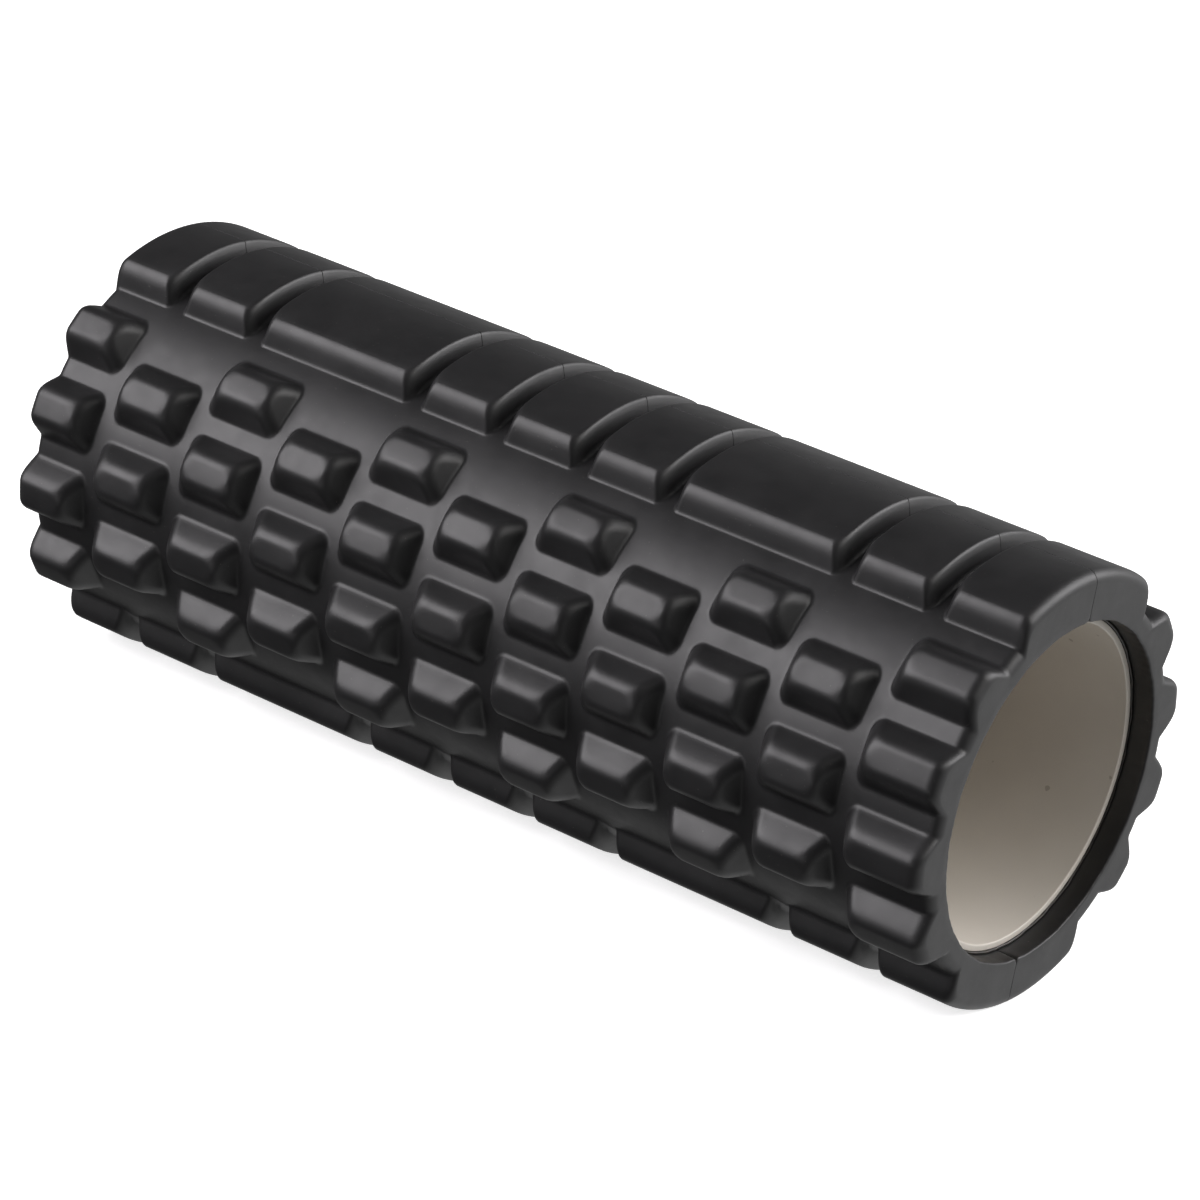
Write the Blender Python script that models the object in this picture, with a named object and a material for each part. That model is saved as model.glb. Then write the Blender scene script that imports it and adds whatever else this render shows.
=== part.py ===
"""Foam massage roller: two moulded foam half shells glued round a rigid open core tube.

The roller's axis is X and its centre is the origin. The half shells meet in the XZ plane,
in one seam along the top and one along the bottom. Each shell is laid out unrolled, as a
sheet of (distance along X, angle round X, height above the tread's floor). The tread pads
are raised on that sheet, and the sheet is then wrapped round the axis.
"""
import math

import bmesh
import bpy

# Roller, in metres.
LENGTH = 0.330
TREAD_RADIUS = 0.0650
FLOOR_RADIUS = 0.0579
BORE_RADIUS = 0.0502
PAD_HEIGHT = TREAD_RADIUS - FLOOR_RADIUS

# Clearance that keeps touching pieces apart.
CLEARANCE = 0.0003

# Core tube.
TUBE_RECESS = 0.0071
TUBE_OUTER_RADIUS = 0.0493
TUBE_WALL = 0.002
TUBE_EDGE_BREAK = 0.0008
TUBE_SEGMENTS = 72

# Glue between the tube and the foam, and in the two seams.
FILM_OUTER_RADIUS = BORE_RADIUS - CLEARANCE
FILM_INNER_RADIUS = TUBE_OUTER_RADIUS + CLEARANCE
FILM_END_MARGIN = 0.005
FILM_SEAM_ANGLE = math.radians(1.2)
SEAM_GLUE_THICKNESS = 0.0002
SEAM_HALF_GAP = SEAM_GLUE_THICKNESS / 2 + CLEARANCE
SEAM_GLUE_MARGIN = 0.0004

# Tread: the length is divided into units, with a groove at every joint of two units.
# They are all of one length, except the leftmost, which is cut short.
UNIT_COUNT = 11
FIRST_UNIT_SHARE = 0.778
UNIT = LENGTH / (UNIT_COUNT - 1 + FIRST_UNIT_SHARE)
GROOVE_HALF_WIDTH = 0.0021
# Slabs lie across each seam. Each entry is how many units long one slab is.
SLAB_UNITS = (1, 1, 2, 1, 1, 1, 2, 1, 1)
SLAB_HALF_ANGLE = 33.8
SLAB_STEPS = 5
# Bumps fill the side between the slabs, in rows that are staggered like a chequerboard.
BUMP_ROWS = 7
BUMP_ROW_PITCH = 12.43
# The middle row lies a little above the side's own middle.
BUMP_MIDDLE_ANGLE = 88.0
BUMP_STEP = BUMP_ROW_PITCH / 2
BUMP_STEPS_ACROSS = 3
BUMP_TOP_DROP = 0.0007

# One entry per level of a pad: height, inset at a groove, inset at the roller's end, and
# inset towards the pad's middle round the roller, in degrees.
SLAB_LEVELS = (
    (0.0042, 0.0005, 0.0, 2.6),
    (PAD_HEIGHT, 0.0019, 0.0032, 2.2),
)
BUMP_LEVELS = (
    (PAD_HEIGHT, 0.0042, 0.0042, 5.1),
)
END_BUMP_LEVELS = (
    (0.0042, 0.0025, 0.0, 3.1),
    (PAD_HEIGHT, 0.0017, 0.0030, 2.0),
)

TINY = 1e-6


def clear_scene():
    for item in list(bpy.data.objects):
        bpy.data.objects.remove(item, do_unlink=True)


def make_material(name, colour, roughness):
    material = bpy.data.materials.new(name)
    material.use_nodes = True
    shader = material.node_tree.nodes["Principled BSDF"]
    shader.inputs["Base Color"].default_value = (*colour, 1.0)
    shader.inputs["Roughness"].default_value = roughness
    shader.inputs["Metallic"].default_value = 0.0
    return material


def add_object(name, mesh_data, material, sharp_angle=30.0):
    """Turn a bmesh into a named object, shaded smooth with its real edges kept sharp."""
    bmesh.ops.recalc_face_normals(mesh_data, faces=mesh_data.faces)
    if mesh_data.calc_volume(signed=True) < 0:
        bmesh.ops.reverse_faces(mesh_data, faces=mesh_data.faces)
    mesh = bpy.data.meshes.new(name)
    mesh_data.to_mesh(mesh)
    mesh_data.free()
    mesh.materials.append(material)
    mesh.shade_smooth()
    mesh.set_sharp_from_angle(angle=math.radians(sharp_angle))
    thing = bpy.data.objects.new(name, mesh)
    bpy.context.scene.collection.objects.link(thing)
    return thing


def joint(number):
    """Place along X of the joint to the left of a unit."""
    return LENGTH / 2 - (UNIT_COUNT - number) * UNIT if number > 0 else -LENGTH / 2


def along_lines():
    """Where the sheet is divided along X: the two ends and both sides of every groove."""
    lines = [-LENGTH / 2]
    for number in range(1, UNIT_COUNT):
        lines += [joint(number) - GROOVE_HALF_WIDTH, joint(number) + GROOVE_HALF_WIDTH]
    return lines + [LENGTH / 2]


def round_lines():
    """Angles where the sheet is divided, in degrees from one seam to the other.

    The first step is half a step, so that a flat facet lies centred on each seam.
    """
    slab_step = SLAB_HALF_ANGLE / (SLAB_STEPS + 0.5)
    slab = [0.0] + [slab_step * (step + 0.5) for step in range(SLAB_STEPS + 1)]
    bump_count = 2 * (BUMP_ROWS - 1) + BUMP_STEPS_ACROSS
    bump_start = BUMP_MIDDLE_ANGLE - BUMP_STEP * bump_count / 2
    bumps = [bump_start + BUMP_STEP * step for step in range(bump_count + 1)]
    upper_gap = (SLAB_HALF_ANGLE + bump_start) / 2
    lower_gap = (180 - SLAB_HALF_ANGLE + bumps[-1]) / 2
    return slab + [upper_gap] + bumps + [lower_gap] + [180 - angle for angle in reversed(slab)]


ALONG = along_lines()
ROUND = round_lines()
FIRST_STEP = math.radians(ROUND[1])
LAST_ROW = len(ROUND) - 2


def wrapped(x, degrees, height, side):
    """Point of the unrolled sheet, wrapped round the axis. Side is -1 in front, +1 behind."""
    radius = FLOOR_RADIUS + height
    angle = math.radians(degrees)
    across = radius * math.sin(angle)
    up = radius * math.cos(angle)
    if across < radius * math.sin(FIRST_STEP) / 2:
        across = SEAM_HALF_GAP
        up = math.copysign(radius * math.cos(FIRST_STEP), up)
    return (x, side * across, up)


def pad_faces(lattice, columns, rows):
    return [lattice[column, row] for column in columns for row in rows]


def limits(values):
    return min(values), max(values)


def with_borders(faces):
    """The faces with their edges and vertices, each once and in a fixed order."""
    edges = dict.fromkeys(edge for face in faces for edge in face.edges)
    vertices = dict.fromkeys(vertex for face in faces for vertex in face.verts)
    return faces + list(edges) + list(vertices)


def raise_pad(sheet, faces, levels):
    """Raise one pad level by level, and draw its outline in at every level."""
    for height, groove_inset, end_inset, turn_inset in levels:
        raised = bmesh.ops.extrude_face_region(sheet, geom=with_borders(faces))["geom"]
        faces = [item for item in raised if isinstance(item, bmesh.types.BMFace)]
        vertices = [item for item in raised if isinstance(item, bmesh.types.BMVert)]
        low_x, high_x = limits([vertex.co.x for vertex in vertices])
        low_turn, high_turn = limits([vertex.co.y for vertex in vertices])
        for vertex in vertices:
            at_end = abs(abs(vertex.co.x) - LENGTH / 2) < TINY
            inset = end_inset if at_end else groove_inset
            vertex.co.z = height
            if abs(vertex.co.x - low_x) < TINY:
                vertex.co.x += inset
            elif abs(vertex.co.x - high_x) < TINY:
                vertex.co.x -= inset
            if abs(vertex.co.y - low_turn) < TINY and low_turn > TINY:
                vertex.co.y += turn_inset
                vertex.co.z -= edge_drop(levels)
            elif abs(vertex.co.y - high_turn) < TINY and high_turn < 180 - 1e-3:
                vertex.co.y -= turn_inset
                vertex.co.z -= edge_drop(levels)


def edge_drop(levels):
    """A bump's long edges lie a little lower than its top, and a slab's do not."""
    return 0.0 if levels is SLAB_LEVELS else BUMP_TOP_DROP


def unrolled_shell():
    """Closed unrolled sheet: the bore side below, the tread's floor above."""
    sheet = bmesh.new()
    grid = [[sheet.verts.new((x, angle, BORE_RADIUS - FLOOR_RADIUS)) for angle in ROUND]
            for x in ALONG]
    bore = []
    for column in range(len(ALONG) - 1):
        for row in range(len(ROUND) - 1):
            corners = (grid[column][row], grid[column + 1][row],
                       grid[column + 1][row + 1], grid[column][row + 1])
            bore.append(sheet.faces.new(corners))
    raised = bmesh.ops.extrude_face_region(sheet, geom=bore)["geom"]
    floor = [item for item in raised if isinstance(item, bmesh.types.BMFace)]
    for item in raised:
        if isinstance(item, bmesh.types.BMVert):
            item.co.z = 0.0
    return sheet, floor


def lattice_of(faces):
    """Look up the floor's faces by their column along X and their row round the roller."""
    lattice = {}
    for face in faces:
        centre = face.calc_center_bounds()
        column = sum(line < centre.x for line in ALONG) - 1
        row = sum(line < centre.y for line in ROUND) - 1
        lattice[column, row] = face
    return lattice


def join_bore_strips(sheet):
    """The bore is straight along X, so the lines across it are not needed."""
    bore_height = BORE_RADIUS - FLOOR_RADIUS
    across = []
    for edge in sheet.edges:
        first, second = (vertex.co for vertex in edge.verts)
        on_bore = max(first.z, second.z) < bore_height + TINY
        level = abs(first.x - second.x) < TINY
        inside = abs(first.x) < LENGTH / 2 - TINY
        if on_bore and level and inside:
            across.append(edge)
    bmesh.ops.dissolve_edges(sheet, edges=across, use_verts=True)


def slab_spans():
    """First and last unit of every slab along the roller."""
    first = 0
    for count in SLAB_UNITS:
        yield first, first + count - 1
        first += count


def foam_shell(name, side, material):
    sheet, floor = unrolled_shell()
    lattice = lattice_of(floor)
    slab_rows = range(SLAB_STEPS + 1)
    for first, last in slab_spans():
        columns = range(2 * first, 2 * last + 1)
        for rows in (slab_rows, [LAST_ROW - row for row in slab_rows]):
            raise_pad(sheet, pad_faces(lattice, columns, rows), SLAB_LEVELS)
    bump_start = SLAB_STEPS + 3
    for bump_row in range(BUMP_ROWS):
        start = bump_start + 2 * bump_row
        rows = range(start, start + BUMP_STEPS_ACROSS)
        for unit in range(bump_row % 2, UNIT_COUNT, 2):
            levels = END_BUMP_LEVELS if unit in (0, UNIT_COUNT - 1) else BUMP_LEVELS
            raise_pad(sheet, pad_faces(lattice, [2 * unit], rows), levels)
    join_bore_strips(sheet)
    for vertex in sheet.verts:
        vertex.co = wrapped(*vertex.co, side)
    return add_object(name, sheet, material)


def core_tube(material):
    """Straight tube, turned about X, with its four end edges broken."""
    end = LENGTH / 2 - TUBE_RECESS
    outer = TUBE_OUTER_RADIUS
    inner = outer - TUBE_WALL
    cut = TUBE_EDGE_BREAK
    half = [(end - cut, inner), (end, inner + cut), (end, outer - cut / 2), (end - cut / 2, outer)]
    profile = half + [(-x, radius) for x, radius in reversed(half)]
    tube = bmesh.new()
    points = [tube.verts.new((x, 0.0, radius)) for x, radius in profile]
    lines = [tube.edges.new((points[index - 1], points[index])) for index in range(len(points))]
    bmesh.ops.spin(tube, geom=points + lines, cent=(0, 0, 0), axis=(1, 0, 0),
                   angle=math.tau, steps=TUBE_SEGMENTS, use_merge=True)
    return add_object("core_tube", tube, material)


def extruded_outline(name, outline, direction, material):
    """Solid made from a flat outline of points and pushed along a direction."""
    solid = bmesh.new()
    face = solid.faces.new([solid.verts.new(point) for point in outline])
    raised = bmesh.ops.extrude_face_region(solid, geom=[face])["geom"]
    moved = [item for item in raised if isinstance(item, bmesh.types.BMVert)]
    bmesh.ops.translate(solid, verts=moved, vec=direction)
    return add_object(name, solid, material)


def glue_film(name, side, material):
    """Thin half ring of glue between the core tube and one foam shell."""
    start = -(LENGTH / 2 - TUBE_RECESS - FILM_END_MARGIN)
    angles = [math.radians(angle) for angle in ROUND[1:-1]]
    angles = [FILM_SEAM_ANGLE] + angles + [math.pi - FILM_SEAM_ANGLE]
    outline = []
    for radius, turns in ((FILM_OUTER_RADIUS, angles), (FILM_INNER_RADIUS, reversed(angles))):
        for angle in turns:
            outline.append((start, side * radius * math.sin(angle), radius * math.cos(angle)))
    return extruded_outline(name, outline, (-2 * start, 0, 0), material)


def seam_glue(name, direction, material):
    """Thin strip of glue in one seam. Its outer edge steps down under every groove."""
    flat = math.cos(FIRST_STEP)
    under_slab = TREAD_RADIUS * flat - SEAM_GLUE_MARGIN
    under_groove = FLOOR_RADIUS * flat - SEAM_GLUE_MARGIN
    slab_inset = GROOVE_HALF_WIDTH + sum(level[1] for level in SLAB_LEVELS) + SEAM_GLUE_MARGIN
    end_inset = sum(level[2] for level in SLAB_LEVELS) + SEAM_GLUE_MARGIN
    end = LENGTH / 2 - SEAM_GLUE_MARGIN
    inner = BORE_RADIUS + SEAM_GLUE_MARGIN
    outline = [(-end, inner), (-end, under_groove)]
    for first, last in slab_spans():
        left = joint(first) + (end_inset if first == 0 else slab_inset)
        right = joint(last + 1) - (end_inset if last == UNIT_COUNT - 1 else slab_inset)
        outline += [(left, under_groove), (left, under_slab)]
        outline += [(right, under_slab), (right, under_groove)]
    outline += [(end, under_groove), (end, inner)]
    back = -SEAM_GLUE_THICKNESS / 2
    points = [(x, back, direction * height) for x, height in outline]
    return extruded_outline(name, points, (0, SEAM_GLUE_THICKNESS, 0), material)


def build_roller():
    clear_scene()
    foam = make_material("black_foam", (0.020, 0.020, 0.022), 0.50)
    plastic = make_material("cream_plastic", (0.62, 0.58, 0.52), 0.40)
    glue = make_material("amber_glue", (0.35, 0.27, 0.15), 0.35)
    core_tube(plastic)
    foam_shell("foam_shell_front", -1, foam)
    foam_shell("foam_shell_back", 1, foam)
    glue_film("glue_film_front", -1, glue)
    glue_film("glue_film_back", 1, glue)
    seam_glue("seam_glue_top", 1, glue)
    seam_glue("seam_glue_bottom", -1, glue)


build_roller()
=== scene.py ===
"""Looks of the foam roller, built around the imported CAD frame."""
import math

import bmesh
import bpy
import numpy as np
from mathutils import Matrix, Vector


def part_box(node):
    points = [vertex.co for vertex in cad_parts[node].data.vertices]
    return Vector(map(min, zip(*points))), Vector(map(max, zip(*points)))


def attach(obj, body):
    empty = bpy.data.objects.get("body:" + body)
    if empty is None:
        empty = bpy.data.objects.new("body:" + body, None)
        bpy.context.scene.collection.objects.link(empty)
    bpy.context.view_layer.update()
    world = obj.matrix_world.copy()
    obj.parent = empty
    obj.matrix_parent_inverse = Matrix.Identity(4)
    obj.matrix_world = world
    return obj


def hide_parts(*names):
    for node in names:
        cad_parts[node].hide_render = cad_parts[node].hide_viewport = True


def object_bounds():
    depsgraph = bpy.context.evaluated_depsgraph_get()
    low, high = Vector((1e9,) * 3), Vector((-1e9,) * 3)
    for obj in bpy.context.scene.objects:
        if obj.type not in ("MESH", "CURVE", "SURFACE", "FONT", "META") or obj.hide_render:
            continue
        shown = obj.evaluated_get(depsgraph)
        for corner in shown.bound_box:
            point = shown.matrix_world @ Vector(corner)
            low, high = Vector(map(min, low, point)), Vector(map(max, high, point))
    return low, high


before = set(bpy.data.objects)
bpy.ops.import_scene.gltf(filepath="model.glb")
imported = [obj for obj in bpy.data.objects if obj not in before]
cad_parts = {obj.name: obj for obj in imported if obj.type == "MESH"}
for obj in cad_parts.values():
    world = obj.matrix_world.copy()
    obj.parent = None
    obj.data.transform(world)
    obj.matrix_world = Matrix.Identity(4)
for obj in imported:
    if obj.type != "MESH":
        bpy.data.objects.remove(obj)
cad_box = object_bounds()

MM = 0.001
GLUE_CLEARANCE = 0.3 * MM

# Sizes read from the frame.
FOAM_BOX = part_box("foam_shell_front")
TUBE_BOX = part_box("core_tube")
FILM_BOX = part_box("glue_film_front")
HALF_LENGTH = FOAM_BOX[1].x
TREAD_RADIUS = -FOAM_BOX[0].y
TUBE_HALF_LENGTH = TUBE_BOX[1].x
TUBE_OUTER_RADIUS = TUBE_BOX[1].z
BORE_RADIUS = FILM_BOX[1].z + GLUE_CLEARANCE

# Tread, as in the CAD model, except for the slabs' grooves. They are a little narrower and
# shifted along X.
TREAD_DEPTH = 7.1 * MM
FLOOR_RADIUS = TREAD_RADIUS - TREAD_DEPTH
UNIT_COUNT = 11
FIRST_UNIT_SHARE = 0.778
UNIT = 2 * HALF_LENGTH / (UNIT_COUNT - 1 + FIRST_UNIT_SHARE)
GROOVE_HALF_WIDTH = 2.1 * MM
SLAB_GROOVE_HALF_WIDTH = 1.6 * MM
SLAB_GROOVE_SHIFT = 1.4 * MM
SLAB_UNITS = (1, 1, 2, 1, 1, 1, 2, 1, 1)
SLAB_FOOT_ANGLE = 33.8
SLAB_BROW_ANGLE = 29.6
BUMP_ROWS = 7
BUMP_ROW_PITCH = 12.43
BUMP_MIDDLE_ANGLE = 88.0
BUMP_FOOT_ANGLE = 9.3
BUMP_BROW_ANGLE = 4.3
BUMP_END_RUN = 3.9 * MM

# Rounding of the moulded foam.
SLAB_END_RUN = 1.7 * MM
SLAB_BROW_SOFTNESS = 3.6 * MM
SLAB_CORNER_RADIUS = 11.0 * MM
BUMP_BROW_SOFTNESS = 2.6 * MM
BUMP_CORNER_RADIUS = 6.0 * MM
FOOT_SOFTNESS = 0.9 * MM
END_RADIUS = 3.6 * MM
BORE_EDGE_RADIUS = 0.7 * MM

# Seam between the two shells, and the nick that it leaves in the bore's edge.
SEAM_HALF_GAP = 0.10 * MM
SEAM_EDGE_RADIUS = 0.05 * MM
NICK_DEPTH = 1.1 * MM
NICK_HALF_ANGLE = 0.9
BORE_UNEVENNESS = 0.07 * MM

# Core tube and the glue at its ends.
TUBE_WALL = 2.0 * MM
TUBE_LIP_RADIUS = 0.4 * MM
TUBE_CORNER_RADIUS = 0.2 * MM
TUBE_LENGTH_POINTS = 14
TUBE_SEGMENTS = 192
BEAD_RADIUS = 0.42 * MM
BEAD_UNEVENNESS = 0.12 * MM
BEAD_SEGMENTS = 240

# The roller lies turned about its axis in front of the camera.
CAMERA_ROLL_ROUND_AXIS = math.radians(15.76)
CAMERA_YAW = math.radians(38.24)
CAMERA_PITCH = math.radians(31.90)
CAMERA_DISTANCE = 1.5627
CAMERA_SHIFT_RIGHT = 5.13 * MM
CAMERA_SHIFT_UP = -0.86 * MM
SENSOR_WIDTH = 36.0
CAMERA_LENS = 161.06
CAMERA_CLIP = (0.05, 50.0)


# ---------------------------------------------------------------- tread shape

def soft_floor(value, softness):
    """max(value, 0) with its corner rounded over a width of twice the softness."""
    middle = (value + softness) ** 2 / (4 * softness)
    return np.where(value > softness, value, np.where(value < -softness, 0.0, middle))


def rounded_corner(first, second, radius):
    """The smaller of two climbs, with the corner where they are equal rounded off."""
    apart = np.abs(first - second)
    arc = np.sqrt(np.clip(2 * radius ** 2 - apart ** 2, 0.0, None))
    return np.where(apart < radius, (first + second + arc) / 2 - radius, np.minimum(first, second))


def soft_slope(climb, softness):
    """Height of a sloping wall from its straight climb, with its foot and brow rounded."""
    capped = TREAD_DEPTH - soft_floor(TREAD_DEPTH - climb, softness)
    return soft_floor(capped, FOOT_SOFTNESS)


def joint(number):
    """Place along X of the joint to the left of a unit. The leftmost unit is cut short."""
    return HALF_LENGTH - (UNIT_COUNT - number) * UNIT if number > 0 else -HALF_LENGTH


def inside_span(x, first, last, half_width=GROOVE_HALF_WIDTH, shift=0.0):
    """Distance inside the nearer end of a pad. The roller's own ends do not count."""
    far = 1.0
    low = x - (joint(first) + shift + half_width) if first > 0 else far
    high = (joint(last + 1) + shift - half_width) - x if last < UNIT_COUNT - 1 else far
    return np.minimum(low, high)


def slab_spans():
    first = 0
    for count in SLAB_UNITS:
        yield first, first + count - 1
        first += count


def slab_height(x, angle):
    """Height of the slab rows. The angle is in degrees from the upper seam."""
    from_seam = np.minimum(angle, 180 - angle)
    steepness = TREAD_DEPTH / (SLAB_FOOT_ANGLE - SLAB_BROW_ANGLE)
    around = steepness * (SLAB_FOOT_ANGLE - from_seam)
    end_steepness = TREAD_DEPTH / SLAB_END_RUN
    height = np.zeros_like(x)
    for first, last in slab_spans():
        inside = inside_span(x, first, last, SLAB_GROOVE_HALF_WIDTH, SLAB_GROOVE_SHIFT)
        along = end_steepness * inside
        climb = rounded_corner(along, around, SLAB_CORNER_RADIUS)
        height = np.maximum(height, soft_slope(climb, SLAB_BROW_SOFTNESS))
    return height


def bump_height(x, angle):
    """Height of the staggered bumps."""
    end_steepness = TREAD_DEPTH / BUMP_END_RUN
    steepness = TREAD_DEPTH / (BUMP_FOOT_ANGLE - BUMP_BROW_ANGLE)
    height = np.zeros_like(x)
    for row in range(BUMP_ROWS):
        centre = BUMP_MIDDLE_ANGLE + (row - (BUMP_ROWS - 1) / 2) * BUMP_ROW_PITCH
        around = steepness * (BUMP_FOOT_ANGLE - np.abs(angle - centre))
        for unit in range(row % 2, UNIT_COUNT, 2):
            along = end_steepness * inside_span(x, unit, unit)
            climb = rounded_corner(along, around, BUMP_CORNER_RADIUS)
            height = np.maximum(height, soft_slope(climb, BUMP_BROW_SOFTNESS))
    return height


def end_drop(x):
    """How far the foam's outer edge is rounded down towards the roller's end."""
    past = np.clip(END_RADIUS - (HALF_LENGTH - np.abs(x)), 0.0, END_RADIUS)
    return END_RADIUS - np.sqrt(END_RADIUS ** 2 - past ** 2)


def seam_drop(radius, angle):
    """How far the foam's edge is rounded down into the seam."""
    across = radius * np.sin(np.radians(angle)) - SEAM_HALF_GAP
    past = np.clip(SEAM_EDGE_RADIUS - across, 0.0, SEAM_EDGE_RADIUS)
    return SEAM_EDGE_RADIUS - np.sqrt(SEAM_EDGE_RADIUS ** 2 - past ** 2)


def tread_radius(x, angle):
    height = np.maximum(slab_height(x, angle), bump_height(x, angle))
    radius = FLOOR_RADIUS + height - end_drop(x)
    return radius - seam_drop(radius, angle)


# ---------------------------------------------------------------- foam shells

def steps(start, stop, size):
    """Evenly spaced values from start up to, but not including, stop."""
    count = max(1, round((stop - start) / size))
    return [start + (stop - start) * index / count for index in range(count)]


def lines_along():
    """Where the mesh is divided along X: close together at the walls and edges."""
    near = steps(0, 1.9, 0.6) + steps(1.9, 5.6, 0.3) + steps(5.6, 7.6, 0.5) + steps(7.6, 15, 1.5)
    unit = [offset * MM for offset in near] + [UNIT / 2]
    unit += [UNIT - offset * MM for offset in reversed(near[1:])]
    inner = [joint(number) + offset for number in range(1, UNIT_COUNT) for offset in unit]
    inner = [x - UNIT for x in inner[:len(unit)]] + inner
    fillet = [END_RADIUS * (1 - math.cos(math.radians(turn))) for turn in range(0, 90, 9)]
    inner = [x for x in inner if abs(x) < HALF_LENGTH - END_RADIUS]
    left = [-HALF_LENGTH + offset for offset in fillet]
    return np.array(left + inner + [-x for x in reversed(left)])


def lines_around():
    """Angles where the mesh is divided, in degrees from one seam to the other."""
    edge = [math.degrees(math.asin((SEAM_HALF_GAP + offset * MM) / TREAD_RADIUS))
            for offset in (0.0, 0.04, 0.12, 0.22, 0.36, 0.8)]
    half = edge + steps(1.5, 28.0, 1.5) + steps(28.0, 36.5, 0.35) + steps(36.5, 41.0, 0.8)
    half += steps(41.0, 90.0, 0.55)
    return np.array(half + [90.0] + [180 - angle for angle in reversed(half)])


def edge_nick(angle):
    """Small nick in the bore's edge where the two shells meet, and a slightly uneven edge."""
    from_seam = np.minimum(angle, 180 - angle)
    nick = NICK_DEPTH * np.clip(1 - from_seam / NICK_HALF_ANGLE, 0, 1)
    turn = np.radians(angle)
    uneven = np.sin(23 * turn + 1.0) + 0.7 * np.sin(41 * turn + 2.2) + 0.5 * np.sin(97 * turn)
    return nick + BORE_UNEVENNESS * uneven


def foam_shell(name, side, material):
    """Half shell as closed loops in (X, radius), one for every angle, with flat seam faces."""
    along = lines_along()
    around = lines_around()
    grid_x, grid_angle = np.meshgrid(along, around)
    outer = tread_radius(grid_x, grid_angle)
    # Each loop runs along the outside, down the right end, back along the bore, up the left end.
    loops_x = [grid_x]
    loops_radius = [outer]
    rows = np.ones((len(around), 1))
    nick = edge_nick(around)[:, None]
    face_steps = np.linspace(0, 1, 6)[1:]
    turns = np.radians(np.arange(0, 91, 22.5))
    bore = BORE_RADIUS + nick
    for direction in (1, -1):
        start = outer[:, -1:] if direction > 0 else outer[:, :1]
        target = bore + BORE_EDGE_RADIUS
        face = start + (target - start) * face_steps[None, :-1]
        edge_radius = target - BORE_EDGE_RADIUS * np.sin(turns)[None, :]
        edge_x = HALF_LENGTH - BORE_EDGE_RADIUS * (1 - np.cos(turns))
        radius = np.hstack([face, edge_radius])
        x = np.hstack([np.full_like(face, HALF_LENGTH), rows * edge_x[None, :]]) * direction
        settle = np.array([0.5, 0.85])
        inner = BORE_RADIUS + nick * (1 - settle)[None, :]
        inner_x = rows * (direction * (HALF_LENGTH - np.array([2.0, 4.0]) * MM))[None, :]
        radius = np.hstack([radius, inner])
        x = np.hstack([x, inner_x])
        if direction < 0:
            radius, x = radius[:, ::-1], x[:, ::-1]
        loops_x.append(x)
        loops_radius.append(radius)
    x = np.hstack(loops_x)
    radius = np.hstack(loops_radius)
    angle = np.radians(around)[:, None]
    across = np.maximum(radius * np.sin(angle), SEAM_HALF_GAP)
    across[[0, -1], :] = SEAM_HALF_GAP
    up = np.sign(np.cos(angle)) * np.sqrt(np.clip(radius ** 2 - across ** 2, 0, None))
    points = np.stack([x, side * across, up], axis=-1)
    loops, count = x.shape
    index = np.arange(loops * count).reshape(loops, count)
    after = np.roll(index, -1, axis=1)
    quads = np.stack([index[:-1], after[:-1], after[1:], index[1:]], axis=-1).reshape(-1, 4)
    caps = [index[0][::-1], index[-1]]
    if side > 0:
        quads = quads[:, ::-1]
        caps = [cap[::-1] for cap in caps]
    faces = quads.tolist() + [cap.tolist() for cap in caps]
    mesh = bpy.data.meshes.new(name)
    mesh.from_pydata(points.reshape(-1, 3).tolist(), [], faces)
    smooth = np.ones(len(faces), bool)
    smooth[-2:] = False
    mesh.polygons.foreach_set("use_smooth", smooth)
    return add_piece(name, mesh, material)


def add_piece(name, mesh, material):
    mesh.materials.append(material)
    mesh.update()
    piece = bpy.data.objects.new(name, mesh)
    bpy.context.scene.collection.objects.link(piece)
    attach(piece, "root")
    return piece


# ---------------------------------------------------------------- core tube and glue

def turned(name, profile, segments, material, uneven=None):
    """Ring turned about X from a closed profile of (x, radius) points."""
    angles = np.arange(segments) * math.tau / segments
    points = []
    for number, angle in enumerate(angles):
        for place, (x, radius) in enumerate(profile):
            shift_x, shift_radius = uneven(number, place) if uneven else (0.0, 0.0)
            reach = radius + shift_radius
            points.append((x + shift_x, -reach * math.sin(angle), reach * math.cos(angle)))
    count = len(profile)
    faces = []
    for number in range(segments):
        this, other = number * count, (number + 1) % segments * count
        for place in range(count):
            after = (place + 1) % count
            faces.append((this + place, this + after, other + after, other + place))
    mesh = bpy.data.meshes.new(name)
    mesh.from_pydata(points, [], faces)
    work = bmesh.new()
    work.from_mesh(mesh)
    if work.calc_volume(signed=True) < 0:
        bmesh.ops.reverse_faces(work, faces=work.faces)
    work.to_mesh(mesh)
    work.free()
    mesh.shade_smooth()
    return add_piece(name, mesh, material)


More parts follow.
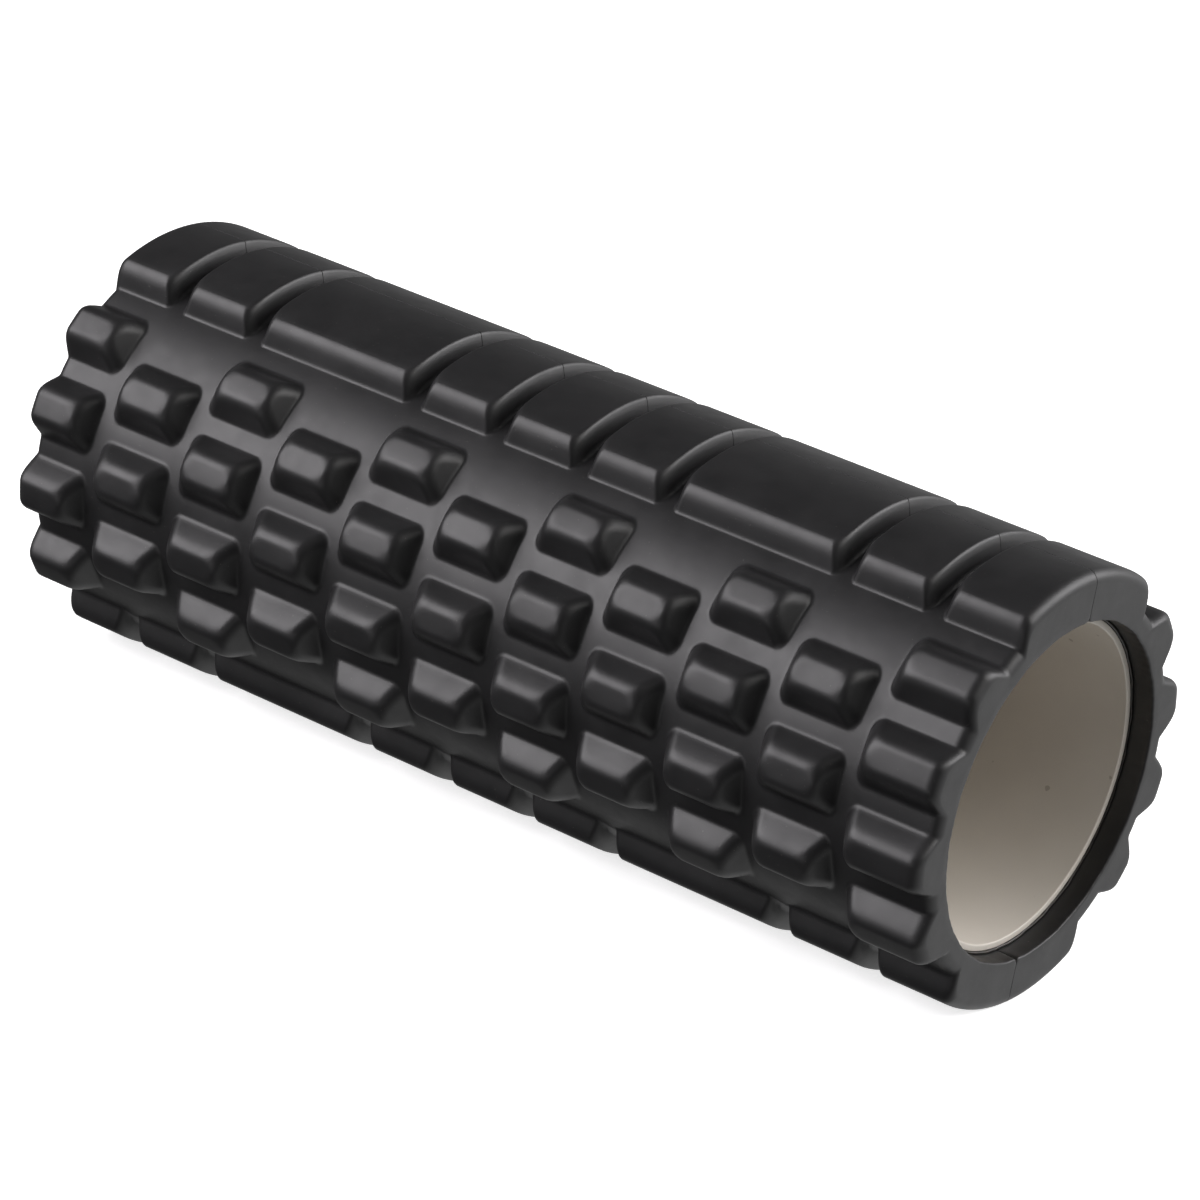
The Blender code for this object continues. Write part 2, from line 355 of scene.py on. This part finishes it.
def core_tube(material):
    """Extruded tube with rounded lips."""
    inner = TUBE_OUTER_RADIUS - TUBE_WALL
    lip = TUBE_LIP_RADIUS
    corner = TUBE_CORNER_RADIUS
    profile = []
    for turn in range(0, 91, 15):
        angle = math.radians(turn)
        profile.append((TUBE_HALF_LENGTH - lip + lip * math.sin(angle),
                        inner + lip - lip * math.cos(angle)))
    for turn in range(0, 91, 30):
        angle = math.radians(turn)
        profile.append((TUBE_HALF_LENGTH - corner + corner * math.cos(angle),
                        TUBE_OUTER_RADIUS - corner + corner * math.sin(angle)))
    left = [(-x, radius) for x, radius in reversed(profile)]
    places = np.linspace(TUBE_HALF_LENGTH, -TUBE_HALF_LENGTH, TUBE_LENGTH_POINTS)[1:-1]
    outside = [(x, TUBE_OUTER_RADIUS) for x in places]
    places = np.linspace(-TUBE_HALF_LENGTH, TUBE_HALF_LENGTH, TUBE_LENGTH_POINTS)[1:-1]
    inside = [(x, inner) for x in places]
    loop = profile + outside + left + inside
    piece = turned("core_tube_turned", loop, TUBE_SEGMENTS, material)
    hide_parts("core_tube")


def glue_bead(name, direction, material):
    """Thin uneven line of glue squeezed out between the tube's end and the foam."""
    middle = (TUBE_OUTER_RADIUS + BORE_RADIUS) / 2
    profile = []
    for turn in range(0, 360, 60):
        angle = math.radians(turn)
        profile.append((direction * (TUBE_HALF_LENGTH + BEAD_RADIUS * math.cos(angle)),
                        middle + BEAD_RADIUS * math.sin(angle)))

    def uneven(number, place):
        swing = math.sin(number * 0.61) + 0.6 * math.sin(number * 1.37 + 1.1)
        swing += 0.4 * math.sin(number * 0.23)
        return direction * BEAD_UNEVENNESS * swing, 0.0

    turned(name, profile, BEAD_SEGMENTS, material, uneven)


# ---------------------------------------------------------------- materials

class Nodes:
    """Small helper that adds and links the nodes of one material."""

    def __init__(self, name):
        self.material = bpy.data.materials.new(name)
        self.material.use_nodes = True
        self.tree = self.material.node_tree
        self.shader = self.tree.nodes["Principled BSDF"]
        self.place = self.add("ShaderNodeTexCoord").outputs["Object"]

    def add(self, kind, **inputs):
        node = self.tree.nodes.new(kind)
        for name, value in inputs.items():
            node.inputs[name.replace("_", " ")].default_value = value
        return node

    def link(self, source, target):
        self.tree.links.new(source, target)

    def noise(self, scale, detail=3.0, roughness=0.5, stretch=None):
        node = self.add("ShaderNodeTexNoise", Scale=scale, Detail=detail, Roughness=roughness)
        place = self.place
        if stretch:
            mapping = self.add("ShaderNodeMapping", Scale=stretch)
            self.link(place, mapping.inputs["Vector"])
            place = mapping.outputs["Vector"]
        self.link(place, node.inputs["Vector"])
        return node.outputs["Fac"]

    def ramp(self, source, low, high, colours):
        node = self.add("ShaderNodeValToRGB")
        for stop, place, colour in zip(node.color_ramp.elements, (low, high), colours):
            stop.position = place
            stop.color = (*colour, 1.0)
        self.link(source, node.inputs["Fac"])
        return node.outputs["Color"]

    def spread(self, source, low, high, first, last):
        node = self.add("ShaderNodeMapRange")
        for socket, value in zip(node.inputs[1:5], (low, high, first, last)):
            socket.default_value = value
        self.link(source, node.inputs["Value"])
        return node.outputs["Result"]

    def mix(self, amount, first, second):
        node = self.tree.nodes.new("ShaderNodeMix")
        node.data_type = "RGBA"
        self.link(amount, node.inputs[0])
        self.link(first, node.inputs[6])
        if isinstance(second, tuple):
            node.inputs[7].default_value = (*second, 1.0)
        else:
            self.link(second, node.inputs[7])
        return node.outputs[2]

    def bump(self, source, distance, strength, under=None):
        node = self.add("ShaderNodeBump", Strength=strength, Distance=distance)
        self.link(source, node.inputs["Height"])
        if under:
            self.link(under, node.inputs["Normal"])
        return node.outputs["Normal"]


def foam_material():
    """Moulded black EVA foam: satin skin, very fine grain, faint mottling and a little dust."""
    made = Nodes("eva_foam")
    shader = made.shader
    mottle = made.noise(55.0, 4.0, 0.6)
    colour = made.ramp(mottle, 0.30, 0.72, ((0.0075, 0.0075, 0.0080), (0.0125, 0.0122, 0.0128)))
    dust = made.spread(made.noise(1500.0, 1.0), 0.765, 0.80, 0.0, 0.5)
    colour = made.mix(dust, colour, (0.10, 0.095, 0.085))
    made.link(colour, shader.inputs["Base Color"])
    rough = made.spread(made.noise(90.0, 5.0, 0.65), 0.3, 0.7, 0.40, 0.50)
    made.link(rough, shader.inputs["Roughness"])
    grain = made.bump(made.noise(2600.0, 2.0), 0.00004, 0.35)
    waves = made.bump(made.noise(70.0, 2.0), 0.0006, 0.25, grain)
    made.link(waves, shader.inputs["Normal"])
    shader.inputs["Specular IOR Level"].default_value = 0.5
    return made.material


def plastic_material():
    """Off-white extruded plastic: satin, with faint lines along its length and a few specks."""
    made = Nodes("core_plastic")
    shader = made.shader
    cloud = made.noise(22.0, 3.0)
    colour = made.ramp(cloud, 0.3, 0.7, ((0.56, 0.52, 0.46), (0.62, 0.58, 0.52)))
    speck = made.spread(made.noise(420.0, 0.0), 0.845, 0.87, 0.0, 0.5)
    colour = made.mix(speck, colour, (0.22, 0.18, 0.14))
    made.link(colour, shader.inputs["Base Color"])
    rough = made.spread(made.noise(130.0, 3.0), 0.3, 0.7, 0.38, 0.50)
    made.link(rough, shader.inputs["Roughness"])
    lines = made.bump(made.noise(1.0, 2.0, 0.5, (3.0, 420.0, 420.0)), 0.0001, 0.25)
    made.link(lines, shader.inputs["Normal"])
    return made.material


def glue_material():
    """Cured contact adhesive: dark, uneven and half shiny."""
    made = Nodes("contact_glue")
    shader = made.shader
    shades = ((0.010, 0.009, 0.008), (0.035, 0.028, 0.020))
    colour = made.ramp(made.noise(400.0), 0.35, 0.65, shades)
    made.link(colour, shader.inputs["Base Color"])
    rough = made.spread(made.noise(600.0), 0.3, 0.7, 0.30, 0.55)
    made.link(rough, shader.inputs["Roughness"])
    made.link(made.bump(made.noise(900.0), 0.0001, 0.5), shader.inputs["Normal"])
    return made.material


# ---------------------------------------------------------------- stage

# Strength of the world's light, and the angle's cosine at which its glow is full.
WORLD_ABOVE = 0.09
WORLD_BELOW = 0.90
TABLE_GLOW_DIRECTION = (0.55, 0.60, -0.58)
TABLE_GLOW_FULL = 0.8

# Pale floor.
FLOOR_HALF_SIZE = 6.0
FLOOR_GLOW = 0.7
FLOOR_SHADE = 0.92
FLOOR_ROUGHNESS = 0.9

TILT = Matrix.Rotation(CAMERA_ROLL_ROUND_AXIS, 3, "X")


def aim(thing, position, target):
    """Put a light at the position, facing the target."""
    thing.location = position
    thing.rotation_euler = (target - position).to_track_quat("-Z", "Y").to_euler()


def camera():
    yaw, pitch = CAMERA_YAW, CAMERA_PITCH
    level = math.cos(pitch)
    back = Vector((math.sin(yaw) * level, -math.cos(yaw) * level, math.sin(pitch)))
    right = Vector((math.cos(yaw), math.sin(yaw), 0.0))
    up = back.cross(right)
    place = back * CAMERA_DISTANCE + right * CAMERA_SHIFT_RIGHT + up * CAMERA_SHIFT_UP
    pose = Matrix((right, up, back)).transposed().to_4x4()
    pose.translation = place
    data = bpy.data.cameras.new("photo_camera")
    data.lens = CAMERA_LENS
    data.sensor_width = SENSOR_WIDTH
    data.clip_start, data.clip_end = CAMERA_CLIP
    thing = bpy.data.objects.new("photo_camera", data)
    bpy.context.scene.collection.objects.link(thing)
    thing.matrix_world = TILT.to_4x4() @ pose
    bpy.context.scene.camera = thing


def area_light(name, direction, distance, size, power, colour):
    """Soft light that faces the roller. The direction is the photographer's, before TILT."""
    data = bpy.data.lights.new(name, "AREA")
    data.shape = "RECTANGLE"
    data.size, data.size_y = size
    data.energy = power
    data.color = colour
    thing = bpy.data.objects.new(name, data)
    bpy.context.scene.collection.objects.link(thing)
    aim(thing, TILT @ (Vector(direction).normalized() * distance), Vector((0, 0, 0)))


def studio():
    scene = bpy.context.scene
    scene.view_settings.view_transform = "Standard"
    world = bpy.data.worlds.new("studio")
    scene.world = world
    world.use_nodes = True
    light_the_world(world.node_tree)
    area_light("key_softbox", (-0.62, -0.52, 0.59), 3.0, (2.5, 2.5), 120, (1.0, 0.97, 1.0))
    area_light("back_softbox", (0.56, 0.75, 0.34), 2.6, (2.0, 1.3), 45, (1.0, 0.98, 1.0))
    area_light("front_fill", (0.10, -0.98, 0.10), 2.4, (1.8, 0.9), 5, (1.0, 0.98, 1.0))
    area_light("bore_light", (0.72, 0.30, 0.62), 2.2, (1.2, 1.2), 16, (1.0, 0.98, 0.96))


def light_the_world(tree):
    """Weak even light from all sides, stronger from the pale table behind the roller's end."""
    background = tree.nodes["Background"]
    place = tree.nodes.new("ShaderNodeTexCoord")
    towards = tree.nodes.new("ShaderNodeVectorMath")
    towards.operation = "DOT_PRODUCT"
    towards.inputs[1].default_value = TILT @ Vector(TABLE_GLOW_DIRECTION)
    spread = tree.nodes.new("ShaderNodeMapRange")
    tree.links.new(place.outputs["Generated"], towards.inputs[0])
    tree.links.new(towards.outputs["Value"], spread.inputs["Value"])
    limits = (0.0, TABLE_GLOW_FULL, WORLD_ABOVE, WORLD_BELOW)
    for socket, value in zip(spread.inputs[1:5], limits):
        socket.default_value = value
    tree.links.new(spread.outputs["Result"], background.inputs["Color"])


def floor():
    material = bpy.data.materials.new("pale_floor")
    material.use_nodes = True
    shader = material.node_tree.nodes["Principled BSDF"]
    shader.inputs["Base Color"].default_value = (FLOOR_SHADE, FLOOR_SHADE, FLOOR_SHADE, 1.0)
    shader.inputs["Roughness"].default_value = FLOOR_ROUGHNESS
    shader.inputs["Emission Color"].default_value = (1.0, 1.0, 1.0, 1.0)
    shader.inputs["Emission Strength"].default_value = FLOOR_GLOW
    mesh = bpy.data.meshes.new("pale_floor")
    half = FLOOR_HALF_SIZE
    level = cad_box[0].z
    corners = [(-half, -half, level), (half, -half, level),
               (half, half, level), (-half, half, level)]
    mesh.from_pydata(corners, [], [(0, 1, 2, 3)])
    mesh.materials.append(material)
    thing = bpy.data.objects.new("pale_floor", mesh)
    bpy.context.scene.collection.objects.link(thing)
    thing.visible_diffuse = False
    thing.visible_glossy = False


# ---------------------------------------------------------------- the whole scene

foam = foam_material()
glue = glue_material()
for shell_side, shell_node in ((-1, "foam_shell_front"), (1, "foam_shell_back")):
    shell = foam_shell(shell_node + "_moulded", shell_side, foam)
    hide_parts(shell_node)
core_tube(plastic_material())
glue_bead("glue_bead_right", 1, glue)
glue_bead("glue_bead_left", -1, glue)
for node in ("glue_film_front", "glue_film_back", "seam_glue_top", "seam_glue_bottom"):
    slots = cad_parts[node].data.materials
    slots.clear()
    slots.append(glue)

camera()
studio()
floor()
